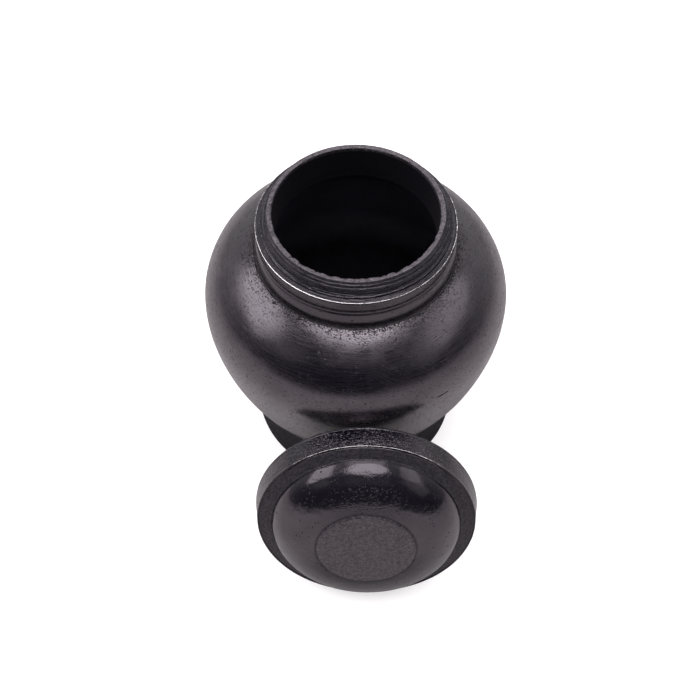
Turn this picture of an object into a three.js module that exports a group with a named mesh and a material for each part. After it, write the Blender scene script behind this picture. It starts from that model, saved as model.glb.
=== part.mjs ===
// A lidded jar in burnished black clay: a globular jar with a low foot and a stepped neck,
// and its loose cap lid, which stands on its open edge and leans on the jar's belly.
// Millimetres, +Z up. The origin is the centre of the jar's foot, where it stands.
import * as THREE from "three";

// ---- Driving dimensions ----

const SEGMENTS = 48;
const WALL = 6; // thickness of the thrown clay

// Outside of the jar: radii from its axis, heights above the foot
const FOOT = { radius: 57.9, chamfer: 0.8, height: 27, flare: 1.5, steps: 5 };
const BELLY = { radius: 75, height: 100.5 };
const SHOULDER = { rise: 45.9, power: 2.37, steps: 10 };
const UNDERSIDE = { drop: 120, power: 1.68, steps: 8 };
const NECK = { baseRadius: 47, rollRadius: 46.4, grooveRadius: 44.7, grooveHeight: 147.3, grooveWidth: 3 };
const LEDGE = { radius: 45.2, height: 155.3 };
const RIM = { outerRadius: 39.5, innerRadius: 37.1, height: 162.6, steps: 3, slope: 0.2 };

// Inside of the jar
const BORE = { chamfer: 0.6, length: 18 };
const FLOOR = { thickness: 9, steps: 6 };

// Lid, measured from its open edge along its own axis
const SKIRT = { openRadius: 54.6, radius: 52.9, innerRadius: 46.2, edge: 0.6, height: 11 };
const SHELF = { lip: 1.2, drop: 0.6 };
const DOME = { radius: 46, base: 12.6, discRadius: 23.5, height: 26.7, power: 1.88, steps: 8 };
const SEAT = { depth: 6, innerRadius: 38 };
const CEILING = { thickness: 5.5, radius: 17, steps: 6 };

// Where the lid stands: its open edge's centre, its lean back and its turn about the vertical
const LEAN = { x: 5.3, y: -95.5, tilt: 21.7, turn: -1.2 };

// ---- Outlines: lists of (radius, height) ----

const at = (radius, height) => new THREE.Vector2(radius, height);

// A quarter of a superellipse, from its widest ring up to the part `reach` of its height
function roundedQuarter(radius, height, power, reach, steps) {
  const end = Math.asin(reach ** (power / 2));
  const points = [];
  for (let i = 0; i <= steps; i += 1) {
    const angle = (end * i) / steps;
    points.push(at(radius * Math.cos(angle) ** (2 / power), height * Math.sin(angle) ** (2 / power)));
  }
  return points;
}

// How far up its quarter a superellipse has narrowed to `ratio` of its radius
const reachAt = (ratio, power) => (1 - ratio ** power) ** (1 / power);

function shoulderOutline() {
  const reach = reachAt(NECK.baseRadius / BELLY.radius, SHOULDER.power);
  return roundedQuarter(BELLY.radius, SHOULDER.rise, SHOULDER.power, reach, SHOULDER.steps)
    .map((p) => at(p.x, BELLY.height + p.y));
}

function undersideOutline() {
  const reach = (BELLY.height - FOOT.height) / UNDERSIDE.drop;
  return roundedQuarter(BELLY.radius, UNDERSIDE.drop, UNDERSIDE.power, reach, UNDERSIDE.steps)
    .map((p) => at(p.x, BELLY.height - p.y))
    .reverse();
}

// The foot flares from the belly's last ring down to the base
function footOutline(waistRadius) {
  const points = [at(0, 0), at(FOOT.radius - FOOT.chamfer, 0), at(FOOT.radius, FOOT.chamfer)];
  for (let i = 1; i < FOOT.steps; i += 1) {
    const rise = i / FOOT.steps;
    const flare = (FOOT.radius - waistRadius) * (1 - rise) ** FOOT.flare;
    points.push(at(waistRadius + flare, FOOT.chamfer + (FOOT.height - FOOT.chamfer) * rise));
  }
  return points;
}

// The neck's roll and groove, up to the ledge's crisp edge
function neckOutline() {
  const half = NECK.grooveWidth / 2;
  return [
    at(NECK.rollRadius, NECK.grooveHeight - half),
    at(NECK.grooveRadius, NECK.grooveHeight),
    at(LEDGE.radius, NECK.grooveHeight + half),
    at(LEDGE.radius, LEDGE.height),
  ];
}

// The stepped band that the lid's skirt covers, and the flat rim on top of it
function rimOutline() {
  const tread = (LEDGE.radius - RIM.outerRadius) / RIM.steps;
  const riser = (RIM.height - LEDGE.height) / RIM.steps;
  const points = [];
  for (let i = 0; i < RIM.steps; i += 1) {
    const radius = LEDGE.radius - tread * (i + 1);
    points.push(at(radius + tread * RIM.slope, LEDGE.height + riser * (i + RIM.slope)));
    points.push(at(radius, LEDGE.height + riser * (i + 1)));
  }
  return points;
}

// Moves an outline by `distance` towards its left, as seen along it
function offsetOutline(points, distance) {
  return points.map((point, i) => {
    const before = points[Math.max(i - 1, 0)];
    const after = points[Math.min(i + 1, points.length - 1)];
    const along = after.clone().sub(before).normalize();
    return at(point.x - along.y * distance, point.y + along.x * distance);
  });
}

// The cavity, from the rim down to the middle of the floor
function cavityOutline(bellyOutline) {
  const wall = offsetOutline(bellyOutline, WALL).reverse();
  const boreEnd = at(RIM.innerRadius, RIM.height - BORE.length);
  const lowest = wall.at(-1);
  const floor = [];
  for (let i = 1; i <= FLOOR.steps; i += 1) {
    const angle = (Math.PI / 2) * (i / FLOOR.steps);
    const depth = (lowest.y - FLOOR.thickness) * Math.sin(angle);
    floor.push(at(i === FLOOR.steps ? 0 : lowest.x * Math.cos(angle), lowest.y - depth));
  }
  return [
    at(RIM.innerRadius + BORE.chamfer, RIM.height),
    at(RIM.innerRadius, RIM.height - BORE.chamfer),
    boreEnd,
    ...wall.slice(1),
    ...floor,
  ];
}

function jarOutline() {
  const underside = undersideOutline();
  const belly = [...underside, ...shoulderOutline().slice(1)];
  return [
    ...footOutline(underside[0].x),
    ...belly,
    ...neckOutline(),
    ...rimOutline(),
    ...cavityOutline(belly),
  ];
}

// The lid's hollow, from the middle of its ceiling down to its open edge
function lidInside() {
  const top = DOME.height - CEILING.thickness;
  const width = SEAT.innerRadius - CEILING.radius;
  const arch = roundedQuarter(width, top - SEAT.depth, 2, 1, CEILING.steps)
    .map((p) => at(CEILING.radius + p.x, SEAT.depth + p.y))
    .reverse();
  return [
    at(0, top),
    ...arch,
    at(SKIRT.innerRadius, SEAT.depth),
    at(SKIRT.innerRadius, SKIRT.edge),
    at(SKIRT.innerRadius + SKIRT.edge, 0),
  ];
}

// The lid's outside, from its open edge over the skirt, the shelf and the dome to the flat disc
function lidOutside() {
  const dome = roundedQuarter(DOME.radius - DOME.discRadius, DOME.height - DOME.base, DOME.power, 1, DOME.steps)
    .map((p) => at(DOME.discRadius + p.x, DOME.base + p.y));
  return [
    at(SKIRT.openRadius - SKIRT.edge, 0),
    at(SKIRT.openRadius, SKIRT.edge),
    at(SKIRT.radius, SKIRT.height),
    at(SKIRT.radius - SHELF.lip, SKIRT.height - SHELF.drop),
    ...dome,
    at(0, DOME.height),
  ];
}

// ---- Pieces ----

// A solid turned about +Z from an outline that starts and ends on the axis
function turned(name, outline, color, roughness) {
  const geometry = new THREE.LatheGeometry(outline, SEGMENTS);
  geometry.rotateX(Math.PI / 2);
  const material = new THREE.MeshStandardMaterial({ color, roughness, metalness: 0 });
  const mesh = new THREE.Mesh(geometry, material);
  mesh.name = name;
  return mesh;
}

// The jar: foot, belly, neck and rim are one piece of fired clay
function makeJar() {
  return turned("jar_body", jarOutline(), 0x2b282d, 0.35);
}

// The lid, leaning: its axis points forward and up by the tilt, and its edge touches the table
function makeLid() {
  const tilt = THREE.MathUtils.degToRad(LEAN.tilt);
  const lid = turned("cap_lid", [...lidInside(), ...lidOutside()], 0x2d2a2f, 0.35);
  lid.rotation.set(Math.PI / 2 - tilt, 0, THREE.MathUtils.degToRad(LEAN.turn), "ZYX");
  const low = SKIRT.openRadius * Math.cos(tilt) - SKIRT.edge * Math.sin(tilt);
  lid.position.set(LEAN.x, LEAN.y, low);
  return lid;
}

const pot = new THREE.Group();
pot.add(makeJar(), makeLid());

export default pot;
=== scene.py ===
"""The looks of a lidded jar in burnished black clay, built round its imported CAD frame.

The jar and its cap lid are turned outlines with the marks of the wheel, the burnishing stone and
use in their meshes. Outlines are in millimetres, as (radius, height) from the piece's own axis.
"""

import math
from types import SimpleNamespace

import bpy
import numpy as np
from mathutils import Matrix, Vector


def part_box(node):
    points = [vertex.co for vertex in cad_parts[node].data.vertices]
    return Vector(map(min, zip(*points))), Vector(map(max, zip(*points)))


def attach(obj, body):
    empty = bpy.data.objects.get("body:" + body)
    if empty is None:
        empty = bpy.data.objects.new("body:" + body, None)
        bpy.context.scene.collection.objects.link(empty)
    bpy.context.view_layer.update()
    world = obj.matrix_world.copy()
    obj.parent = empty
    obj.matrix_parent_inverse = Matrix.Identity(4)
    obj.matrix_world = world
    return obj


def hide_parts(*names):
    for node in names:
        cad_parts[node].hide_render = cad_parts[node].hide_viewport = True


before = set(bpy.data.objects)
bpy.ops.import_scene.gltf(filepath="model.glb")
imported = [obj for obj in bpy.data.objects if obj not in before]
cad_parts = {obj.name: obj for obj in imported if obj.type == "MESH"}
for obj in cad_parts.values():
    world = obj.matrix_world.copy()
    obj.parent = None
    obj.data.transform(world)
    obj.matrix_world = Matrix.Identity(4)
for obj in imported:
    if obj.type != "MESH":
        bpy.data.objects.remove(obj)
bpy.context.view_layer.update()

# ---- Driving dimensions: the part's drawing, scaled by the belly's real radius ----

BELLY_RADIUS = 75.0
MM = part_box("jar_body")[1].x / BELLY_RADIUS  # metres in one millimetre of the drawing

FOOT = dict(radius=57.9, height=27.0, waist=53.2, flat=20.0, edge=1.2, flare_power=1.5)
BELLY = dict(height=100.5, rise=45.9, power_above=2.37, drop=120.0, power_below=1.68)
NECK = dict(radius=47.0, height=139.0, roll=142.6, groove=148.0, ledge_radius=45.2, ledge_height=155.3)
RIM = dict(outer=39.5, inner=37.1, height=162.6, inner_edge=1.4, bore_end=144.0)
WALL = 6.0
FLOOR = 9.0

SKIRT = dict(open_radius=54.6, radius=52.9, inner=46.2, height=11.0, lip=1.6, lip_drop=0.25)
DOME = dict(radius=46.0, base=12.6, disc=23.0, height=26.7, power=1.88, step=0.8, sunk=1.6)
HOLLOW = dict(seat=6.0, radius=38.0, ceiling=21.2, flat=17.0)
# Where the lid stands, and how far behind its open plane its rounded edge touches the table
LEAN = dict(x=5.3, y=-95.5, tilt=math.radians(21.7), turn=math.radians(-1.2), touch=0.6)

SKIN = 0.12  # how far the modelled surface keeps inside the drawing, so its bumps stay in the CAD box

# ---- Outlines ----


def arc_between(start, end, power, steps):
    """A quarter of a superellipse from start, where it runs upright, to end, where it lies flat."""
    angle = np.linspace(0, math.pi / 2, steps + 1)
    across = np.cos(angle) ** (2 / power)
    along = np.sin(angle) ** (2 / power)
    r = end[0] + (start[0] - end[0]) * across
    z = start[1] + (end[1] - start[1]) * along
    return np.stack([r, z], 1)


def belly_radius(z, inset=0.0):
    """The belly's outside radius at a height: one superellipse above its widest ring and one below."""
    above = z >= BELLY["height"]
    reach = np.where(above, BELLY["rise"], BELLY["drop"]) - inset
    power = np.where(above, BELLY["power_above"], BELLY["power_below"])
    u = np.clip(np.abs(z - BELLY["height"]) / reach, 0, 1)
    return (BELLY_RADIUS - inset) * (1 - u**power) ** (1 / power)


def rounded(points, steps=5):
    """Rounds each corner of a path of (r, z, corner radius) points by an arc."""
    p = np.array([q[:2] for q in points], float)
    out = [p[0]]
    for i in range(1, len(p) - 1):
        size = points[i][2] if len(points[i]) > 2 else 0
        if size <= 0:
            out.append(p[i])
            continue
        a, b = p[i - 1] - p[i], p[i + 1] - p[i]
        la, lb = np.linalg.norm(a), np.linalg.norm(b)
        cut = min(size, 0.45 * la, 0.45 * lb)
        start, end = p[i] + a / la * cut, p[i] + b / lb * cut
        t = np.linspace(0, 1, steps + 1)[:, None]
        out.extend((1 - t) ** 2 * start + 2 * t * (1 - t) * p[i] + t**2 * end)
    out.append(p[-1])
    return np.array(out)


def dense(path, spacing):
    """Adds points so that no step along the path is longer than spacing."""
    out = [path[:1]]
    for a, b in zip(path[:-1], path[1:]):
        n = max(1, math.ceil(np.linalg.norm(b - a) / spacing))
        out.append(a + (b - a) * (np.arange(1, n + 1) / n)[:, None])
    return np.concatenate(out)


def ring_noise(theta, along, around, spacing, seed):
    """Smooth random values in -1..1 that close round the ring, with `around` cells each turn, and one
    every `spacing` mm along the outline."""
    rows = int(np.max(along) / spacing) + 3
    table = np.random.default_rng(seed).uniform(-1, 1, (rows, around))
    u = theta / (2 * math.pi) * around
    v = along / spacing
    i, j = np.floor(u).astype(int), np.floor(v).astype(int)
    fu, fv = u - i, v - j
    fu, fv = fu * fu * (3 - 2 * fu), fv * fv * (3 - 2 * fv)
    near = table[j, i % around] * (1 - fu) + table[j, (i + 1) % around] * fu
    far = table[j + 1, i % around] * (1 - fu) + table[j + 1, (i + 1) % around] * fu
    return near * (1 - fv) + far * fv


def smooth(edge0, edge1, x):
    """0 before edge0, 1 after edge1, and a smooth step between them."""
    t = np.clip((x - edge0) / (edge1 - edge0), 0, 1)
    return t * t * (3 - 2 * t)


class Outline:
    """A turned outline made of named stretches."""

    def __init__(self):
        self.points, self.zone = [], []

    def add(self, zone, path, spacing):
        path = dense(np.asarray(path, float), spacing)
        if self.points:
            path = path[1:]
        self.points.extend(path)
        self.zone.extend([zone] * len(path))

    def arrays(self):
        return np.array(self.points), np.array(self.zone)


def jar_outline():
    """From the middle of the underside, up the outside, over the rim and down the cavity to the floor."""
    out = Outline()
    foot_r, edge = FOOT["radius"], FOOT["edge"]
    rise = np.linspace(0, 1, 14)[1:]
    side_r = FOOT["waist"] + (foot_r - FOOT["waist"]) * (1 - rise) ** FOOT["flare_power"]
    side_z = edge + (FOOT["height"] - edge) * rise
    out.add("base", rounded([(0, 0), (FOOT["flat"], 0), (foot_r, 0, edge), (foot_r, edge)]), 2.0)
    out.add("foot", np.vstack([[foot_r, edge], np.stack([side_r, side_z], 1)]), 0.8)
    widest = BELLY["height"]
    upper = np.sin(np.linspace(0, math.pi / 2, 50)[1:])
    z = np.concatenate([
        np.linspace(FOOT["height"] + edge, widest, 64),
        widest + (NECK["height"] - widest) * upper,
    ])
    belly = np.stack([belly_radius(z), z], 1)
    out.add("belly", np.vstack([[FOOT["waist"], FOOT["height"]], belly]), 1.2)
    out.add("neck", neck_path(), 0.3)
    out.add("band", band_path(), 0.14)
    bore_top = (RIM["inner"], RIM["height"] - RIM["inner_edge"])
    out.add("rim", rounded([
        (RIM["outer"], RIM["height"]),
        (RIM["outer"] - 0.9, RIM["height"]),
        (RIM["inner"], RIM["height"], 0.7),
        bore_top,
    ]), 0.25)
    out.add("bore", [bore_top, (RIM["inner"], RIM["bore_end"])], 1.0)
    out.add("inside", cavity_path(), 2.2)
    return out.arrays()


def neck_path():
    """Out of the crease at the shoulder, up the lower roll, across the groove and up to the ledge."""
    low, groove, top, edge = NECK["height"], NECK["groove"], NECK["ledge_height"], NECK["ledge_radius"]
    return rounded([
        (belly_radius(np.array(low)).item(), low),
        (NECK["radius"] - 0.3, low - 0.5, 0.2),
        (NECK["radius"] - 0.35, low + 0.6, 0.4),
        (NECK["radius"] - 0.2, NECK["roll"], 1.5),
        (edge + 0.7, groove - 1.6, 0.9),
        (edge - 0.35, groove, 0.9),
        (edge + 0.3, groove + 1.6, 0.9),
        (edge - 0.1, top - 1.0, 0.5),
        (edge, top),
    ])


def band_point(across, up):
    """A point of the band, by its shares of the way across and up from the ledge to the rim."""
    start = np.array([NECK["ledge_radius"], NECK["ledge_height"]])
    return start + (np.array([RIM["outer"], RIM["height"]]) - start) * (across, up)


# The band's corners on the way up: the shares across and up, and the corner's radius
BAND_STEPS = [
    (0.36, 0.04, 0.1), (0.38, 0.14, 0.1), (0.42, 0.17, 0.2), (0.60, 0.24, 0.3), (0.64, 0.56, 0.3),
    (0.70, 0.62, 0.2), (0.80, 0.64, 0.2), (0.82, 0.82, 0.2), (0.95, 0.86, 0.2), (0.97, 0.98, 0.2),
]


def band_path():
    """The stepped band between the ledge and the rim."""
    corners = [(*band_point(across, up), corner) for across, up, corner in BAND_STEPS]
    return rounded([tuple(band_point(0, 0)), *corners, tuple(band_point(1, 1))])


def cavity_path():
    """From the bore, down the inside of the belly one wall's thickness in, to the rounded floor."""
    z = np.linspace(RIM["bore_end"] - 11, FOOT["height"] + 6, 40)
    wall = np.stack([belly_radius(z, WALL), z], 1)
    floor = arc_between(wall[-1], (0.0, FLOOR), 2.0, 12)
    return np.vstack([[RIM["inner"], RIM["bore_end"]], wall, floor[1:]])


def lid_outline():
    """From the middle of the hollow's ceiling, out to the open edge, up the skirt and over the dome."""
    out = Outline()
    skirt_r, skirt_h = SKIRT["radius"], SKIRT["height"]
    seat, ceiling = (HOLLOW["radius"], HOLLOW["seat"]), (HOLLOW["flat"], HOLLOW["ceiling"])
    inner_foot = (SKIRT["inner"], 0.9)
    skirt_foot = (SKIRT["open_radius"] - 0.1, 1.2)
    skirt_top = (skirt_r, skirt_h - 0.6)
    lip_end = (skirt_r - SKIRT["lip"], skirt_h - SKIRT["lip_drop"])
    dome_base = (DOME["radius"], DOME["base"])
    arch = arc_between(seat, ceiling, 2.0, 14)[::-1]
    out.add("hollow", np.vstack([[0, HOLLOW["ceiling"]], arch]), 2.0)
    out.add("hollow", rounded([seat, (SKIRT["inner"], HOLLOW["seat"], 0.5), inner_foot]), 1.0)
    out.add("edge", rounded([
        inner_foot,
        (SKIRT["inner"], 0, 0.7),
        (SKIRT["open_radius"], 0, 0.9),
        skirt_foot,
    ]), 0.5)
    out.add("skirt", rounded([skirt_foot, (skirt_r + 0.9, skirt_h * 0.5, 3.0), skirt_top]), 0.5)
    out.add("lip", rounded([
        skirt_top,
        (skirt_r, skirt_h, 0.5),
        (skirt_r - 0.8, skirt_h - 0.05, 0.3),
        (skirt_r - 1.0, skirt_h - 0.3, 0.2),
        lip_end,
    ]), 0.12)
    out.add("shelf", [lip_end, dome_base], 0.3)
    foot = (DOME["disc"] + 1.3, DOME["height"] - DOME["step"])
    sunk = (DOME["radius"] + 0.15, DOME["base"] - DOME["sunk"])  # the dome's arc starts below the shelf
    dome = arc_between(sunk, foot, DOME["power"], 70)
    out.add("dome", np.vstack([dome_base, dome[dome[:, 1] > DOME["base"] + 0.1]]), 0.8)
    out.add("disc", rounded([
        foot,
        (DOME["disc"] + 0.7, foot[1], 0.3),
        (DOME["disc"] - 0.2, DOME["height"], 0.6),
        (DOME["disc"] - 1.8, DOME["height"]),
    ], 8), 0.15)
    out.add("disc", [(DOME["disc"] - 1.8, DOME["height"]), (0, DOME["height"])], 1.0)
    return out.arrays()


# ---- Turned meshes ----


def turned_mesh(name, outline, segments, relief, surface, stand=Matrix.Identity(4)):
    """A closed mesh turned about +Z and then put in place by stand.

    relief(theta, run, zone, points) is the surface's rise in mm, cut off at SKIN, and
    surface(theta, zone, points) gives the material's attributes. theta runs round the piece, and run,
    zone and points are columns that run along its outline. The attribute "turned" keeps each point's
    place before stand, so that marks follow the piece's axis.
    """
    points, zone = outline
    step = np.diff(points, axis=0)
    run = np.concatenate([[0], np.cumsum(np.linalg.norm(step, axis=1))])
    tangent = np.gradient(points, run, axis=0)
    tangent /= np.linalg.norm(tangent, axis=1)[:, None]
    normal = np.stack([tangent[:, 1], -tangent[:, 0]], 1)
    between = slice(1, -1)  # the outline's two ends are single points on the axis
    inner, inner_normal = points[between], normal[between]
    theta = np.arange(segments) * (2 * math.pi / segments)
    rise = relief(theta, run[between, None], zone[between, None], inner[:, None])
    rise = np.minimum(rise, SKIN) - SKIN
    r = inner[:, :1] + inner_normal[:, :1] * rise
    z = inner[:, 1:] + inner_normal[:, 1:] * rise
    rings = np.stack([r * np.cos(theta), r * np.sin(theta), z], 2).reshape(-1, 3)
    ends = [[0, 0, points[end, 1] - normal[end, 1] * SKIN] for end in (0, -1)]
    co = np.vstack([rings, ends]) * MM
    n = len(inner)
    i = np.arange(segments)
    k = (i + 1) % segments
    row = (np.arange(n - 1) * segments)[:, None]
    quads = np.stack([row + i, row + k, row + segments + k, row + segments + i], 2).reshape(-1, 4)
    first, last = np.full(segments, n * segments), np.full(segments, n * segments + 1)
    top = (n - 1) * segments
    caps = np.vstack([np.stack([first, k, i], 1), np.stack([last, top + i, top + k], 1)])
    mesh = bpy.data.meshes.new(name)
    mesh.from_pydata(co.tolist(), [], quads.tolist() + caps.tolist())
    for key, values in surface(theta, zone[:, None], points[:, None]).items():
        values = np.broadcast_to(values, (len(points), segments))
        full = np.concatenate([values[between].ravel(), values[[0, -1], 0]])
        mesh.attributes.new(key, "FLOAT", "POINT").data.foreach_set("value", full.astype(np.float32))
    turned = mesh.attributes.new("turned", "FLOAT_VECTOR", "POINT")
    turned.data.foreach_set("vector", co.astype(np.float32).ravel())
    mesh.transform(stand)
    mesh.shade_smooth()
    mesh.update()
    piece = bpy.data.objects.new(name, mesh)
    bpy.context.scene.collection.objects.link(piece)
    return piece


JAR_SEGMENTS = 720
LID_SEGMENTS = 576
NICK_COUNT = 120
TOP_SIDE = math.pi / 2  # the side of the lid that is uppermost where it leans

# How pale the jar, and at the end the lid's lip, is painted: painted highlight lines on the ledge's edge,
# the band's crests and the lid's lip, and pale wear on the ledge's flat, the band and the rim; how much, and
# over how many mm
LEDGE_HIGHLIGHT = dict(amount=1.3, reach=0.27, all_round=0.6)
STEP_HIGHLIGHT = dict(amount=0.42, reach=0.22)
CORNER_WEAR = dict(amount=0.12, reach=1.3)
LEDGE_HIGHLIGHT_SIDE = -1.9  # where the ledge's painted highlight line is brightest, as an angle about the jar's axis from +X
HIGHLIT_STEPS = [(0.42, 0.17), (0.75, 0.64), (0.95, 0.88)]  # the band's crests that carry painted highlight lines, by their shares across and up
RUBBED_CORNER = (0.2, 0.02)  # the flat of the ledge, inside its edge
LEAST_WEAR = dict(band=0.21, rim=0.29)
LIP_HIGHLIGHT = dict(amount=0.9, reach=0.35)

CREASE_RAW, CREASE_PITTED = 0.9, 2.3  # how far from the neck's crease the clay is raw, and pitted, in mm
SHOULDER = (104, 128)  # the heights in mm between which the belly turns hazy
CAVITY_LIGHT_HEIGHTS = (60, 95)  # the heights in mm between which the cavity turns from soot to a paler colour, painted light that stands in for light coming in through the mouth

# Each stretch's burnish, from 0 for raw clay to 1 for stone-polished, and its gloss, from 0 for soot
JAR_FINISH = {
    "base": (0.0, 0.3), "foot": (0.0, 0.2), "belly": (1.0, 1.0), "neck": (0.9, 0.76),
    "band": (0.8, 0.28), "rim": (0.15, 0.9), "bore": (0.0, 0.02), "inside": (0.0, 0.02),
}
LID_FINISH = {
    "hollow": (0.0, 0.25), "edge": (0.2, 0.5), "skirt": (0.95, 0.33), "lip": (0.95, 1.0),
    "shelf": (0.0, 0.4), "dome": (1.0, 0.85), "disc": (0.2, 0.9),
}


def near(points, place, reach):
    """1 at a point of the outline, fading to 0 over reach mm."""
    return np.exp(-((np.hypot(points[..., 0] - place[0], points[..., 1] - place[1]) / reach) ** 2))


def finish_of(table, zone):
    """Two columns along the outline: its burnish and its gloss."""
    burnish, gloss = np.array([table[z] for z in zone[:, 0]]).T
    return burnish[:, None], gloss[:, None]


def round_side(theta, middle, width):
    """1 in the middle of one side of a turned piece, fading to 0 a width away round it."""
    return np.exp(-((np.angle(np.exp(1j * (theta - middle))) / width) ** 4))


def jar_surface(theta, zone, points):
    """Burnished up to the neck's foot, where the stone could not reach, with pale wear on the ledge's flat,
    the band and the rim, painted highlight lines on the ledge's edge and the band's crests, and painted
    light inside the cavity.
    """
    burnish, gloss = finish_of(JAR_FINISH, zone)
    crease = (NECK["radius"], NECK["height"])
    burnish = burnish * (1 - 0.9 * near(points, crease, CREASE_RAW))
    # Painted highlight: a pale line along the ledge's edge, all round and brightest on one side
    ledge = near(points, (NECK["ledge_radius"], NECK["ledge_height"]), LEDGE_HIGHLIGHT["reach"])
    all_round = LEDGE_HIGHLIGHT["all_round"]
    one_side = (1 - all_round) * round_side(theta, LEDGE_HIGHLIGHT_SIDE, 0.8)
    wear = LEDGE_HIGHLIGHT["amount"] * ledge * (all_round + one_side)
    # Painted highlights: pale lines on the band's crests
    for across, up in HIGHLIT_STEPS:
        wear += STEP_HIGHLIGHT["amount"] * near(points, band_point(across, up), STEP_HIGHLIGHT["reach"])
    wear += CORNER_WEAR["amount"] * near(points, band_point(*RUBBED_CORNER), CORNER_WEAR["reach"])
    for part, least in LEAST_WEAR.items():
        wear = np.maximum(wear, least * (zone == part))
    height = points[..., 1]
    haze = np.where(zone == "belly", 0.2 + 0.5 * smooth(*SHOULDER, height), 0.4 * (zone == "neck"))
    from_crease = np.hypot(points[..., 0] - crease[0], points[..., 1] - crease[1])
    pitted = 0.03 * np.isin(zone, ("belly", "band", "rim"))
    pitted = pitted + 0.82 * (zone == "belly") * np.exp(-from_crease / CREASE_PITTED)
    # Painted light: the cavity is coloured paler above the given heights, standing in for light that comes
    # in through the mouth
    ash = (zone == "inside") * smooth(*CAVITY_LIGHT_HEIGHTS, height)
    dimple = 0.1 * (zone == "belly")
    return dict(
        burnish=burnish, gloss=gloss, wear=wear, dimple=dimple, haze=haze, pitted=pitted, ash=ash,
    )


def lid_surface(theta, zone, points):
    """Burnished on the skirt and the dome, with a raw shelf and disc, a painted highlight line along the lip
    on its top side, and painted shade in the crease at the disc's foot.
    """
    burnish, gloss = finish_of(LID_FINISH, zone)
    high, low = round_side(theta, TOP_SIDE, 0.8), round_side(theta, -TOP_SIDE, 1.5)
    gloss = gloss * np.where(zone == "dome", (1 - 0.45 * high) * (1 - 0.65 * low), 1)
    gloss = gloss * np.where(zone == "lip", 0.3 + 0.7 * high, 1)
    brighter = 0.67 * round_side(theta, TOP_SIDE, 0.6) + 0.2 * (1 - round_side(theta, TOP_SIDE, 1.1))
    gloss = gloss + np.where(zone == "skirt", brighter, 0)
    # Painted shade: a dark line in the crease at the foot of the disc's step, where the gloss is cut
    disc_foot = (DOME["disc"] + 0.8, DOME["height"] - DOME["step"])
    gloss = gloss * (1 - 0.6 * near(points, disc_foot, 0.7))
    # Painted highlight: a pale line along the lip, on its top side only
    lip = near(points, (SKIRT["radius"] - 0.3, SKIRT["height"]), LIP_HIGHLIGHT["reach"])
    wear = LIP_HIGHLIGHT["amount"] * high * lip
    inner = smooth(DOME["radius"] - 5, DOME["radius"] - 9, points[..., 0])
    dimple = (zone == "dome") * (0.15 + 0.75 * inner * round_side(theta, TOP_SIDE, 0.5))
    dimple = dimple + (zone == "skirt") * (0.9 + 1.4 * round_side(theta, TOP_SIDE, 0.6))
    return dict(
        burnish=burnish, gloss=gloss, wear=wear, dimple=dimple, haze=0.0, pitted=0.0, ash=0.0,
    )


def nicks(theta, points):
    """Chips along the rim's inner edge, in mm of depth: many small ones and a few wider."""
    draw = np.random.default_rng(41)
    depth = np.zeros_like(theta)
    for _ in range(NICK_COUNT):
        place = draw.uniform(0, 2 * math.pi)
        width = draw.uniform(0.006, 0.028)
        size = draw.uniform(0.15, 0.6)
        apart = np.angle(np.exp(1j * (theta - place)))
        depth += size * np.exp(-((apart / width) ** 2))
    return depth * near(points, (RIM["inner"], RIM["height"]), 0.9)


def jar_relief(theta, run, zone, points):
    """The thrown and burnished jar's own unevenness, in mm."""
    wave = 0.05 * np.sin(2 * theta + 0.7) + 0.04 * np.sin(3 * theta + 2.1)
    facets = 0.10 * ring_noise(theta, run, 17, 12.0, 1) + 0.03 * ring_noise(theta, run, 48, 3.6, 2)
    wheel = 0.05 * ring_noise(theta, run, 3, 0.9, 3) + 0.02 * ring_noise(theta, run, 90, 0.5, 4)
    satin = 0.04 * ring_noise(theta, run, 9, 3.0, 8) + 0.012 * ring_noise(theta, run, 40, 1.1, 9)
    turning = 0.10 * ring_noise(theta, run, 7, 0.42, 5) + 0.07 * ring_noise(theta, run, 120, 0.5, 6)
    grit = 0.09 * ring_noise(theta, run, 420, 0.5, 7)
    marks = dict(belly=facets, neck=satin, band=turning, rim=grit)
    rise = wave + np.select([zone == part for part in marks], list(marks.values()), wheel)
    return rise - nicks(theta, points)


def lid_relief(theta, run, zone, points):
    """The lid's own unevenness, in mm."""
    wave = 0.05 * np.sin(2 * theta + 1.9) + 0.03 * np.sin(5 * theta)
    facets = 0.07 * ring_noise(theta, run, 14, 9.0, 11) + 0.04 * ring_noise(theta, run, 52, 3.0, 12)
    facets += 0.02 * ring_noise(theta, run, 110, 1.4, 15)
    wheel = 0.04 * ring_noise(theta, run, 4, 0.8, 13) + 0.01 * ring_noise(theta, run, 120, 0.7, 14)
    crease = near(points, (SKIRT["radius"] - 1.3, SKIRT["height"] - 0.3), 0.35)
    crease = 0.9 * crease * round_side(theta, TOP_SIDE, 0.7)
    return wave + np.where(np.isin(zone, ("dome", "skirt")), facets, wheel) - crease


def make_jar():
    """The jar, standing on the table at the origin."""
    jar = turned_mesh("burnished_jar", jar_outline(), JAR_SEGMENTS, jar_relief, jar_surface)
    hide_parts("jar_body")
    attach(jar, "jar")
    return jar


def make_lid():
    """The lid, standing on its open edge and leaning back against the belly."""
    low = SKIRT["open_radius"] * math.cos(LEAN["tilt"]) - LEAN["touch"] * math.sin(LEAN["tilt"])
    stand = Matrix.Translation(Vector((LEAN["x"], LEAN["y"], low)) * MM)
    stand @= Matrix.Rotation(LEAN["turn"], 4, "Z") @ Matrix.Rotation(math.pi / 2 - LEAN["tilt"], 4, "X")
    lid = turned_mesh("burnished_lid", lid_outline(), LID_SEGMENTS, lid_relief, lid_surface, stand)
    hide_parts("cap_lid")
    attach(lid, "lid")
    return lid


# ---- Materials ----


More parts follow.
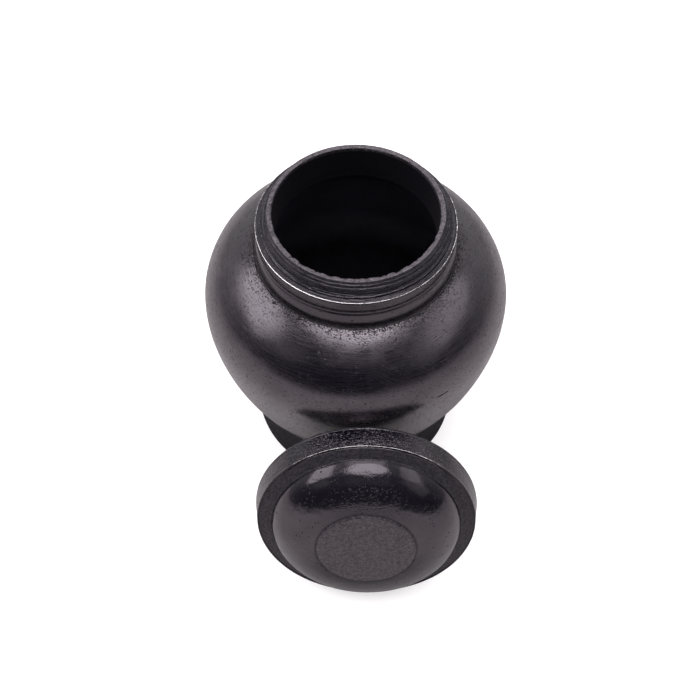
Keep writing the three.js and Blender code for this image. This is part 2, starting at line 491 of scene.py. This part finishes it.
class Nodes:
    """Short calls for building a node tree."""

    def __init__(self, tree):
        self.tree = tree
        tree.nodes.clear()

    def add(self, kind, inputs=None, **settings):
        node = self.tree.nodes.new(kind)
        for key, value in settings.items():
            setattr(node, key, value)
        for key, value in (inputs or {}).items():
            if isinstance(value, bpy.types.NodeSocket):
                self.tree.links.new(value, node.inputs[key])
            else:
                node.inputs[key].default_value = value
        return node

    def math(self, operation, a, b=0.0, clamp=False):
        return self.add("ShaderNodeMath", {0: a, 1: b}, operation=operation, use_clamp=clamp).outputs[0]

    def vector(self, operation, inputs):
        """The outputs of one step of vector arithmetic."""
        return self.add("ShaderNodeVectorMath", inputs, operation=operation).outputs

    def times(self, first, *rest):
        """The product of all the values."""
        for value in rest:
            first = self.math("MULTIPLY", first, value)
        return first

    def plus(self, first, *rest):
        """The sum of all the values."""
        for value in rest:
            first = self.math("ADD", first, value)
        return first

    def ramp(self, value, low, high, to_low=0.0, to_high=1.0):
        """value taken smoothly from low..high to to_low..to_high."""
        inputs = {0: value, 1: low, 2: high, 3: to_low, 4: to_high}
        return self.add("ShaderNodeMapRange", inputs, interpolation_type="SMOOTHSTEP").outputs[0]

    def noise(self, vector, scale, detail=2.0, roughness=0.5):
        inputs = {"Vector": vector, "Scale": scale, "Detail": detail, "Roughness": roughness}
        return self.add("ShaderNodeTexNoise", inputs).outputs["Fac"]

    def mix(self, share, a, b):
        """One number mixed into another."""
        return self.add("ShaderNodeMix", {0: share, 2: a, 3: b}).outputs[0]

    def tint(self, share, a, b):
        """One colour mixed into another."""
        return self.add("ShaderNodeMix", {0: share, 6: a, 7: b}, data_type="RGBA").outputs[2]

    def attribute(self, name):
        return self.add("ShaderNodeAttribute", attribute_name=name).outputs["Fac"]


STROKE_SQUEEZE = 0.035  # how much finer a stone's stroke is across than along


def stroke_vector(n, place, slant):
    """Coordinates squeezed along the turned direction, so that noise on them draws long fine strokes."""
    x, y, z = n.add("ShaderNodeSeparateXYZ", {0: place}).outputs
    radius = n.math("SQRT", n.plus(n.times(x, x), n.times(y, y)))
    across = n.plus(n.math("SUBTRACT", z, radius), n.times(x, slant))
    squeezed = {0: n.times(x, STROKE_SQUEEZE), 1: n.times(y, STROKE_SQUEEZE), 2: across}
    return n.add("ShaderNodeCombineXYZ", squeezed).outputs[0]


def random_cells(n, place, scale):
    """One random number for each cell, and the distance from the cell's point."""
    cell = n.add("ShaderNodeTexVoronoi", {"Vector": place, "Scale": scale}).outputs
    return n.add("ShaderNodeSeparateColor", {0: cell["Color"]}).outputs[0], cell["Distance"]


def pits(n, place, scale, share, size):
    """Small round pits: 1 in a pit's middle and 0 outside. share of the cells have one."""
    number, distance = random_cells(n, place, scale)
    return n.times(n.math("LESS_THAN", number, share), n.ramp(distance, size, size * 0.3))


def scratch(n, place, start, end, width):
    """1 on the line from start to end, in metres, and 0 a width away from it."""
    way = Vector(end) - Vector(start)
    from_start = n.vector("SUBTRACT", {0: place, 1: start})["Vector"]
    reach = n.vector("DOT_PRODUCT", {0: from_start, 1: way / way.length_squared})["Value"]
    along = n.vector("SCALE", {0: way, "Scale": n.math("ADD", reach, 0.0, clamp=True)})["Vector"]
    apart = n.vector("DISTANCE", {0: from_start, 1: along})["Value"]
    return n.ramp(apart, width, width * 0.4)


# The jar's deep scratches: start and end in metres from the jar's foot, and width
JAR_SCRATCHES = [((0.0374, -0.0640, 0.1085), (0.0415, -0.0614, 0.1086), 0.0007)]
JAR_POLISH, LID_POLISH = 0.18, 0.12  # the roughness of each piece where the stone has polished it
STREAK, HAZE = 0.03, 0.22  # how much rougher the clay is between the strokes, where haze is 0 and 1

# Colours, and the heights in metres of the marks that are too fine for the mesh
POLISHED = (0.0010, 0.0006, 0.0022, 1), (0.0022, 0.0016, 0.0042, 1)
MATTE = (0.004, 0.0034, 0.0047, 1), (0.034, 0.0295, 0.036, 1)
SOOT = (0.008, 0.0073, 0.0100, 1)
# Pale wear, and painted highlight lines on the ledge's edge, the band's crests and the lid's lip
PALE_WEAR_AND_HIGHLIGHT = (0.85, 0.80, 0.83, 1)
PIT = (0.0012, 0.0010, 0.0014, 1)
# Painted light: the paler colour of the cavity's upper part, standing in for light that comes in through the
# mouth
CAVITY_PAINTED_LIGHT = (0.12, 0.11, 0.15, 1)
# Painted shade: the dark coat that takes over at grazing angles, dimming the reflection of the floor along
# the outline
GRAZING_SHADE = (0.02, 0.018, 0.02, 1)
SHEEN_TINT = (1.0, 0.88, 0.98, 1)
CLAY_IOR = 1.62
STROKE_RISE, GRAIN_RISE = 0.000007, 0.00010
PIT_DEPTH, DENT_DEPTH, PEEL_DEPTH = 0.00012, 0.00013, 0.00016


def clay_patterns(n):
    """The mesh's attributes, and the patterns that colour, gloss and bumps share."""
    p = SimpleNamespace(place=n.add("ShaderNodeAttribute", attribute_name="turned").outputs["Vector"])
    for key in ("burnish", "gloss", "wear", "dimple", "haze", "pitted", "ash"):
        setattr(p, key, n.attribute(key))
    p.patches = n.noise(p.place, 45, 3.0, 0.6)
    p.coarse = n.noise(p.place, 700, 2.0, 0.6)
    p.grain = n.noise(p.place, 1500, 2.0, 0.7)
    p.sand = random_cells(n, p.place, 2600)[0]
    level, slanted = (n.noise(stroke_vector(n, p.place, slant), 2600, 3.0, 0.7) for slant in (0.0, 0.9))
    p.strokes = n.mix(n.ramp(p.patches, 0.4, 0.7), level, slanted)
    p.full = n.ramp(p.burnish, 0.8, 0.95)  # 1 where the stone went everywhere, with no raw grain left
    return p


def sealed_mask(n, p):
    """1 where the stone has closed the grain, broken up where the burnish fades."""
    broken = n.plus(p.burnish, n.times(n.math("SUBTRACT", p.grain, 0.5), 3.2))
    reached = n.times(n.ramp(broken, 0.3, 0.6), n.ramp(p.burnish, 0.0, 0.2))
    return n.math("MAXIMUM", reached, p.full)


def pit_masks(n, p, marks):
    """1 in every pit, gap and scratch, and the same for the gaps between sand grains alone."""
    clusters = n.ramp(n.noise(p.place, 110, 2.0), 0.5, 0.62)
    crowded = n.times(pits(n, p.place, 800, 0.3, 0.32), clusters)
    pit = n.math("MAXIMUM", pits(n, p.place, 520, 0.12, 0.26), crowded)
    pit = n.times(pit, p.full)
    for start, end, width in marks:
        pit = n.math("MAXIMUM", pit, scratch(n, p.place, start, end, width))
    gap = n.times(n.math("LESS_THAN", p.sand, p.pitted), 0.85)
    return n.math("MAXIMUM", pit, gap), gap


def clay_colour(n, p, sealed, pit):
    """Near black, from blue-black polish over grey raw clay and soot to pale worn specks and painted
    highlight lines, with painted light inside the cavity.
    """
    matte = n.tint(n.mix(0.5, p.sand, n.ramp(p.coarse, 0.4, 0.6)), *MATTE)
    colour = n.tint(sealed, matte, n.tint(n.ramp(p.strokes, 0.3, 0.7), *POLISHED))
    colour = n.tint(p.gloss, SOOT, colour)
    # Pale wear specks, and painted highlight lines where the wear attribute is high
    speck = n.mix(n.ramp(p.wear, 0.2, 0.6), p.grain, p.coarse)
    wear_and_highlight_mask = n.plus(n.times(speck, 0.65), n.times(p.wear, 0.65))
    wear_and_highlight_mask = n.times(n.ramp(wear_and_highlight_mask, 0.62, 0.85), n.ramp(p.wear, 0.0, 0.2))
    colour = n.tint(wear_and_highlight_mask, colour, PALE_WEAR_AND_HIGHLIGHT)
    colour = n.tint(pit, colour, PIT)
    # Painted light: the cavity paled towards its mouth
    return n.tint(p.ash, colour, CAVITY_PAINTED_LIGHT)


def clay_gloss(n, p, sealed, pit, polish):
    """The roughness, and the strength of the surface's reflection."""
    streaks = n.times(n.ramp(p.strokes, 0.34, 0.66), n.mix(p.haze, STREAK, HAZE))
    burnished = n.plus(polish, streaks, n.times(n.ramp(p.patches, 0.4, 0.65), 0.05))
    rough = n.mix(sealed, n.ramp(p.grain, 0.3, 0.7, 0.5, 0.75), burnished)
    rough = n.mix(pit, rough, 0.7)
    raw_speckle = n.ramp(n.mix(0.5, p.sand, p.coarse), 0.3, 0.7, 0.28, 0.68)
    speckle = n.mix(sealed, raw_speckle, n.ramp(p.patches, 0.35, 0.65, 0.44, 0.56))
    return rough, n.times(p.gloss, speckle, n.ramp(pit, 0.0, 1.0, 1.0, 0.15))


def clay_height(n, p, sealed, depressed):
    """The height in metres of strokes, grain, dents and pits."""
    peel = n.times(p.coarse, n.ramp(p.dimple, 0.4, 1.0, 0.15, 1.0), PEEL_DEPTH)
    shifts = n.add("ShaderNodeTexNoise", {"Vector": p.place, "Scale": 800}).outputs["Color"]
    bent = n.vector("MULTIPLY_ADD", {0: shifts, 1: (0.001, 0.001, 0.001), 2: p.place})["Vector"]
    dents = n.times(n.plus(n.times(pits(n, bent, 1000, 0.6, 0.5), DENT_DEPTH), peel), p.dimple)
    raised = n.plus(n.times(p.strokes, STROKE_RISE), n.times(n.mix(sealed, p.grain, 0.5), GRAIN_RISE))
    return n.math("SUBTRACT", raised, n.plus(dents, n.times(depressed, PIT_DEPTH)))


def clay_material(name, polish, marks=()):
    """Black clay, fired in smoke: burnished to a graphite sheen, raw, sooty, or pale with wear and with
    painted highlight lines, with painted light inside the cavity and painted shade at grazing angles.

    polish is the burnished roughness, and each of marks is a deep scratch's start, end and width in
    metres. The mesh's attributes steer it, each from 0: burnish (raw) to 1 (stone-polished), gloss (sooty)
    to 1, wear to 1 (pale worn specks and painted highlight lines), haze to 1 (dull between the strokes),
    pitted to 1 (all gaps between grains), ash to 1 (painted light, pale inside the cavity), and dimple, the
    depth of the dents, which may pass 1.
    """
    material = bpy.data.materials.new(name)
    material.use_nodes = True
    n = Nodes(material.node_tree)
    p = clay_patterns(n)
    sealed = sealed_mask(n, p)
    pit, gap = pit_masks(n, p, marks)
    rough, level = clay_gloss(n, p, sealed, pit, polish)
    height = clay_height(n, p, sealed, n.math("SUBTRACT", pit, gap))
    bump = n.add("ShaderNodeBump", {"Strength": 1.0, "Distance": 1.0, "Height": height}).outputs[0]
    shader = n.add("ShaderNodeBsdfPrincipled", {
        "Base Color": clay_colour(n, p, sealed, pit),
        "Roughness": rough,
        "IOR": CLAY_IOR,
        "Specular IOR Level": level,
        "Specular Tint": SHEEN_TINT,
        "Normal": bump,
    })
    # Painted shade: at grazing angles a dark diffuse coat takes over part of the surface, dimming the
    # reflection of the floor along the outline
    facing = n.add("ShaderNodeLayerWeight", {"Blend": 0.5}).outputs["Facing"]
    grazing_shade = n.add("ShaderNodeBsdfDiffuse", {"Color": GRAZING_SHADE})
    with_grazing_shade = n.add("ShaderNodeMixShader", {
        "Fac": n.ramp(facing, 0.45, 0.95, 0.0, 0.4),
        1: shader.outputs[0],
        2: grazing_shade.outputs[0],
    })
    n.add("ShaderNodeOutputMaterial", {"Surface": with_grazing_shade.outputs[0]})
    return material


# ---- The studio ----


CAMERA = dict(place=(-2.7, -235.1, 430.6), down=math.radians(58.7), lens=41.2, sensor=36.0)
FLOOR_HALF = 4.0  # metres
FLOOR_COLOUR = (0.58, 0.54, 0.56, 1)
FLOOR_GLOW = 0.55  # how much the floor's shadows are filled in near the jar, so that they stay pale

# The room's radiance before and behind the jar, and as the background
ROOM = dict(front=0.04, back=1.0, seen=1.0)


def make_camera():
    """Above and in front of the jar, looking down at it, with the view's middle on its upper belly."""
    data = bpy.data.cameras.new("camera")
    data.sensor_width = CAMERA["sensor"]
    data.lens = CAMERA["lens"]
    data.clip_start, data.clip_end = 0.01, 20
    camera = bpy.data.objects.new("camera", data)
    camera.location = Vector(CAMERA["place"]) * MM
    camera.rotation_euler = (math.pi / 2 - CAMERA["down"], 0, 0)
    bpy.context.scene.collection.objects.link(camera)
    bpy.context.scene.camera = camera


def make_floor():
    """A pale matt floor: it glows a little, whiter with distance, and lights the front of the jar."""
    mesh = bpy.data.meshes.new("floor")
    corners = [(x * FLOOR_HALF, y * FLOOR_HALF, 0) for x, y in ((-1, -1), (1, -1), (1, 1), (-1, 1))]
    mesh.from_pydata(corners, [], [(0, 1, 2, 3)])
    floor = bpy.data.objects.new("floor", mesh)
    bpy.context.scene.collection.objects.link(floor)
    material = bpy.data.materials.new("pale_floor")
    material.use_nodes = True
    n = Nodes(material.node_tree)
    seen = n.add("ShaderNodeLightPath").outputs["Is Camera Ray"]
    spot = n.add("ShaderNodeTexCoord").outputs["Object"]
    ahead = n.add("ShaderNodeSeparateXYZ", {0: spot}).outputs[1]
    away = n.vector("LENGTH", {0: spot})["Value"]
    seen_glow = n.ramp(away, 0.4, 1.2, FLOOR_GLOW, 1.0)
    cast_glow = n.ramp(ahead, -0.9, -0.15, 0.8, 0.0)
    shader = n.add("ShaderNodeBsdfPrincipled", {
        "Base Color": FLOOR_COLOUR,
        "Roughness": 0.9,
        "Specular IOR Level": 0.0,
        "Emission Color": (1, 1, 1, 1),
        "Emission Strength": n.mix(seen, cast_glow, seen_glow),
    })
    n.add("ShaderNodeOutputMaterial", {"Surface": shader.outputs[0]})
    mesh.materials.append(material)


def softbox(name, place, size, radiance, target=(0, 0, 0.08), shape="RECTANGLE"):
    """A soft light of a given radiance, turned towards target."""
    data = bpy.data.lights.new(name, "AREA")
    data.shape, data.size, data.size_y = shape, size[0], size[1]
    area = size[0] * size[1] * (math.pi / 4 if shape == "ELLIPSE" else 1)
    data.energy = radiance * math.pi * area
    light = bpy.data.objects.new(name, data)
    light.location = place
    light.rotation_euler = (Vector(target) - Vector(place)).to_track_quat("-Z", "Y").to_euler()
    bpy.context.scene.collection.objects.link(light)


def make_studio():
    """A white room that is dim in front, as a studio is: pale behind the jar, near black before it."""
    world = bpy.data.worlds.new("studio")
    world.use_nodes = True
    n = Nodes(world.node_tree)
    direction = n.add("ShaderNodeTexCoord").outputs["Generated"]
    side = n.add("ShaderNodeSeparateXYZ", {0: direction}).outputs[1]
    seen = n.add("ShaderNodeLightPath").outputs["Is Camera Ray"]
    level = n.mix(seen, n.ramp(side, -0.75, 0.95, ROOM["front"], ROOM["back"]), ROOM["seen"])
    background = n.add("ShaderNodeBackground", {"Color": (1, 1, 1, 1), "Strength": level})
    n.add("ShaderNodeOutputWorld", {"Surface": background.outputs[0]})
    bpy.context.scene.world = world


def make_lights():
    """Soft boxes in metres and in radiance: one overhead, brightest, and fainter ones all round."""
    softbox("overhead", (0.0, -0.12, 1.25), (0.92, 0.9), 8.5, (0, -0.12, 0), "ELLIPSE")
    softbox("left", (-1.0, 0.1, 0.95), (0.9, 0.6), 5.5)
    softbox("right", (1.0, -0.02, 0.95), (1.0, 0.5), 2.3)
    softbox("front", (0.0, -0.95, 1.08), (1.0, 0.4), 0.35)
    softbox("front_left", (-0.85, -0.7, 0.85), (0.5, 0.35), 0.7)
    softbox("front_right", (0.85, -0.6, 0.7), (0.5, 0.5), 0.7)
    softbox("back", (0.0, 0.62, 1.2), (1.0, 0.75), 3.0)


bpy.context.scene.view_settings.view_transform = "Standard"
make_camera()
make_floor()
make_studio()
make_lights()
make_jar().data.materials.append(clay_material("burnished_black_clay_jar", JAR_POLISH, JAR_SCRATCHES))
make_lid().data.materials.append(clay_material("burnished_black_clay_lid", LID_POLISH))
